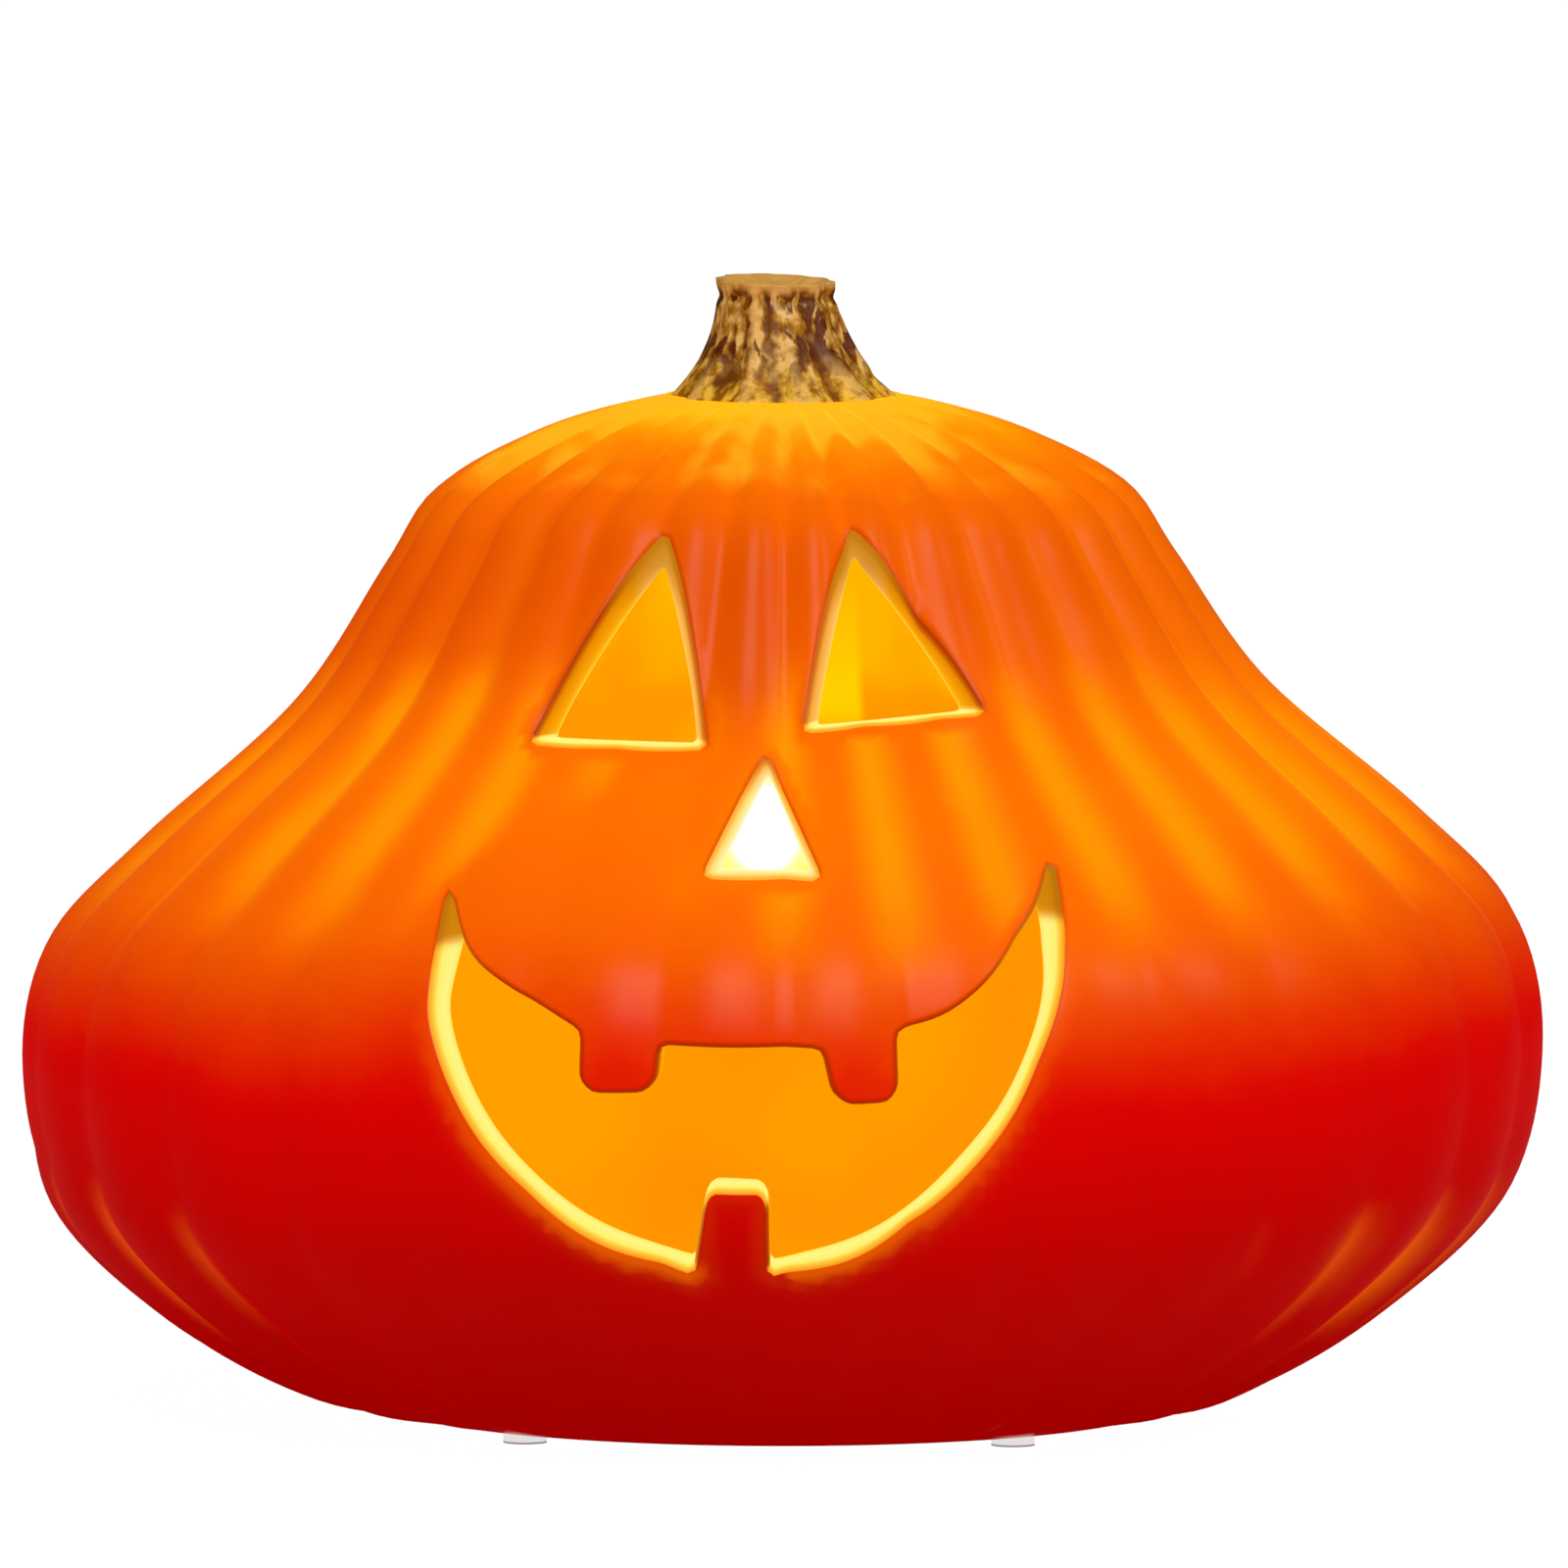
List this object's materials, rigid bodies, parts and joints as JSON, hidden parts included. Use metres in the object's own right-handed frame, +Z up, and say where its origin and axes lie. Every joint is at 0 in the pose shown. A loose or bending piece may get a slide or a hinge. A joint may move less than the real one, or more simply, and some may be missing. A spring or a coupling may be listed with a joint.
{
  "type": "light-up pumpkin figure",
  "caption": "Wide ribbed ceramic jack-o'-lantern, carved with a smiling face, with a resin stem and a battery lamp inside.",
  "frame": {"origin": "on the surface the figure stands on, under the middle of the shell", "axes": "+Z up, the carved face looks along -Y, +X is on the viewer's right"},
  "size_m": [0.1896, 0.1889, 0.143],
  "materials": {
    "orange_glaze": "gloss glaze, yellow-orange at the top running into deep red at the foot",
    "stem_resin": "hand-painted, brown and olive gold",
    "foot_pad": "clear silicone",
    "gasket_foam": "matt",
    "amber_plastic": "satin",
    "screw_steel": "zinc plated",
    "door_foam": "matt",
    "insert_brass": "knurled",
    "cell_sleeve": "plain printed sleeve",
    "contact_steel": "nickel plated",
    "board_laminate": "solder mask",
    "chip_resin": "matt",
    "capacitor_sleeve": "gloss",
    "resistor_coat": "gloss",
    "wire_red": "satin",
    "wire_black": "satin",
    "switch_steel": "bright",
    "switch_knob": "matt",
    "grommet_rubber": "matt",
    "clip_plastic": "satin",
    "lamp_foam": "matt",
    "lamp_board": "white solder mask",
    "led_resin": "clear",
    "dome_frosted": "frosted, lit"
  },
  "bodies": {
    "figure": {"pumpkin_shell": "orange_glaze", "stem": "stem_resin", "foot_pads": "foot_pad", "base_gasket": "gasket_foam", "base_housing": "amber_plastic", "base_cover": "amber_plastic", "cover_screws": "screw_steel", "screw_insert": "insert_brass", "battery_front": "cell_sleeve", "battery_middle": "cell_sleeve", "battery_rear": "cell_sleeve", "contact_springs": "contact_steel", "contact_plates": "contact_steel", "circuit_board": "board_laminate", "timer_chip": "chip_resin", "capacitor": "capacitor_sleeve", "resistor": "resistor_coat", "battery_wires": "wire_red", "switch_body": "switch_steel", "lead_grommet": "grommet_rubber", "lead_red": "wire_red", "lead_black": "wire_black", "lead_clips": "clip_plastic", "lamp_pad": "lamp_foam", "lamp_bracket": "amber_plastic", "lamp_board": "lamp_board", "lamp_led": "led_resin", "lamp_dome": "dome_frosted"},
    "door": {"battery_door": "amber_plastic", "door_foam": "door_foam"},
    "screw": {"door_screw": "screw_steel"},
    "switch": {"switch_slider": "switch_knob"}
  },
  "joints": [
    {"name": "door_hinge", "type": "hinge", "parent": "figure", "child": "door", "pos_m": [0, -0.0231, 0.0031], "axis": [-1, 0, 0], "range_deg": [0, 100]},
    {"name": "door_screw_slide", "type": "slide", "parent": "door", "child": "screw", "axis": [0, 0, -1], "range_m": [0, 0.004]},
    {"name": "switch_slide", "type": "slide", "parent": "figure", "child": "switch", "axis": [1, 0, 0], "range_m": [0, 0.004]}
  ]
}
